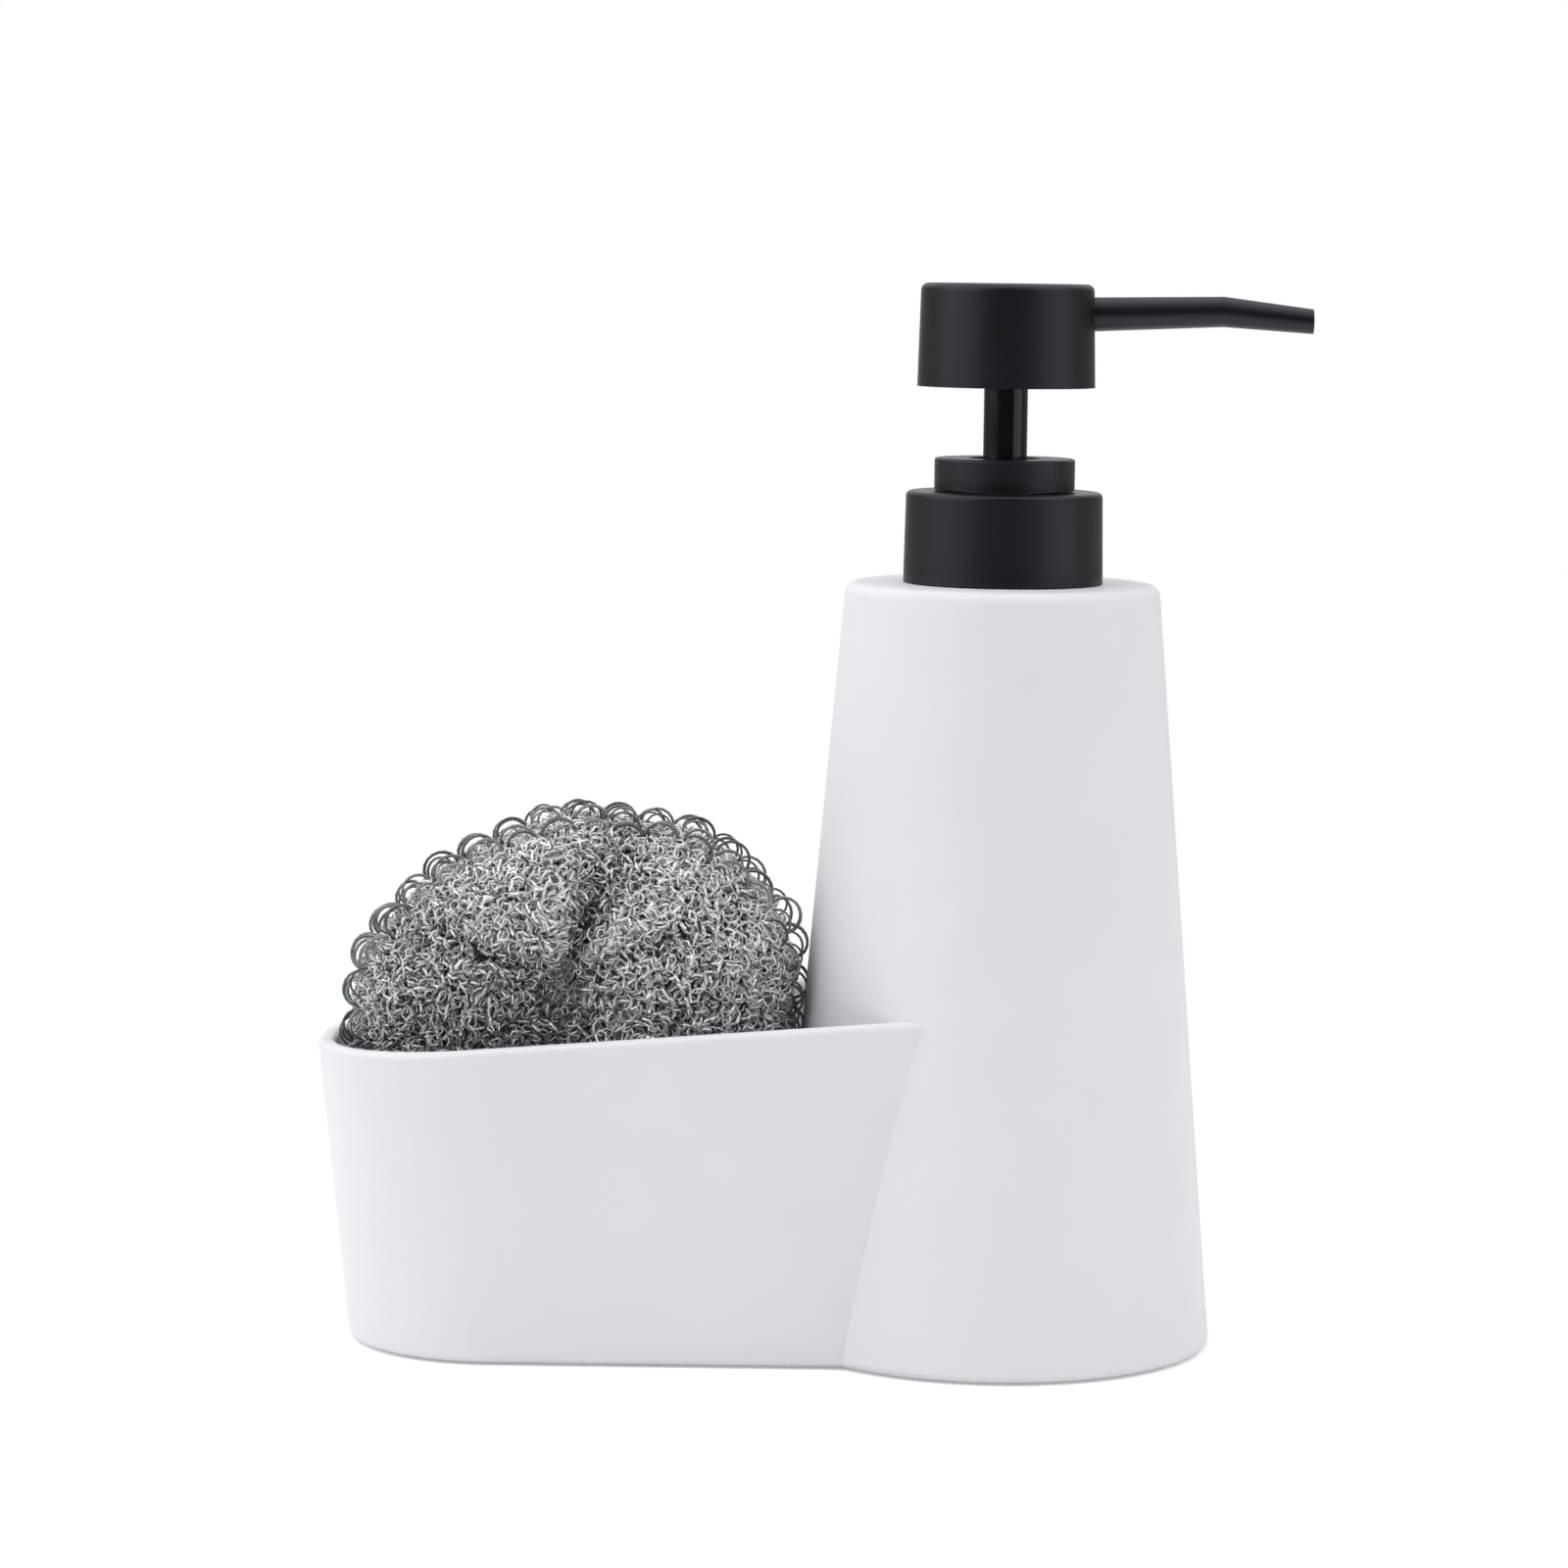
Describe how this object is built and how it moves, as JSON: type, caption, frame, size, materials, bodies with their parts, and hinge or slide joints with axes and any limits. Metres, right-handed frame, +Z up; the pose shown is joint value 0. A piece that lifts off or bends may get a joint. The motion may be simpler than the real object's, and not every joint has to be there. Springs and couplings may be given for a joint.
{
  "type": "soap pump caddy",
  "caption": "Tapered white soap bottle with a black press-down lotion pump, cast in one piece with a side tray that holds a round wire scourer.",
  "frame": {"origin": "on the resting plane, at the underside of the bottle's pad, under the axis of the bottle and pump", "axes": "+Z up along the bottle and pump axis, +X the way the spout points at rest, away from the tray, +Y towards the back"},
  "size_m": [0.1724, 0.0774, 0.1864],
  "materials": {
    "cast_resin": "matt white cast resin",
    "pad_foam": "closed-cell foam",
    "natural_plastic": "natural polypropylene",
    "black_plastic": "fine matt black moulded plastic",
    "black_gloss_plastic": "smooth black moulded plastic",
    "seal_rubber": "soft foam seal",
    "steel": "drawn stainless steel",
    "tube_plastic": "translucent polyethylene",
    "scourer_wire": "knitted flat stainless wire"
  },
  "bodies": {
    "caddy": {"caddy_body": "cast_resin", "bottle_pad": "pad_foam", "tray_pad": "pad_foam", "neck_insert": "natural_plastic"},
    "pump_unit": {"neck_gasket": "seal_rubber", "pump_housing": "natural_plastic", "chaplet": "black_plastic", "ball_retainer": "natural_plastic", "dip_tube": "tube_plastic", "return_spring": "steel"},
    "collar": {"threaded_closure": "black_plastic", "collar_cover": "black_plastic"},
    "plunger": {"piston": "natural_plastic", "piston_rod": "natural_plastic"},
    "head": {"stem": "black_gloss_plastic", "head_core": "black_plastic", "head_cover": "black_plastic", "spout": "black_plastic"},
    "valve_ball": {"inlet_ball": "steel"},
    "scourer": {"scourer": "scourer_wire"}
  },
  "joints": [
    {"name": "pump_lift", "type": "slide", "parent": "caddy", "child": "pump_unit", "axis": [0, 0, 1], "range_m": [0, 0.0042]},
    {"name": "collar_turn", "type": "hinge", "parent": "pump_unit", "child": "collar", "pos_m": [0, 0, 0.142], "axis": [0, 0, 1], "range_deg": [0, 359.9]},
    {"name": "pump_press", "type": "slide", "parent": "pump_unit", "child": "plunger", "axis": [0, 0, -1], "range_m": [0, 0.0115], "stiffness_N_per_m": 400, "springref_m": -0.006, "deforming": ["return_spring"]},
    {"name": "spout_swivel", "type": "hinge", "parent": "plunger", "child": "head", "pos_m": [0, 0, 0.17], "axis": [0, 0, 1], "continuous": true},
    {"name": "valve_lift", "type": "slide", "parent": "pump_unit", "child": "valve_ball", "axis": [0, 0, 1], "range_m": [0, 0.0013]},
    {"name": "scourer_lift", "type": "slide", "parent": "caddy", "child": "scourer", "axis": [0, 0, 1], "range_m": [0, 0.06]}
  ],
  "couplings": [
    {"joint": "pump_lift", "follows": "collar_turn", "m_per_rad": 0.00066845}
  ]
}
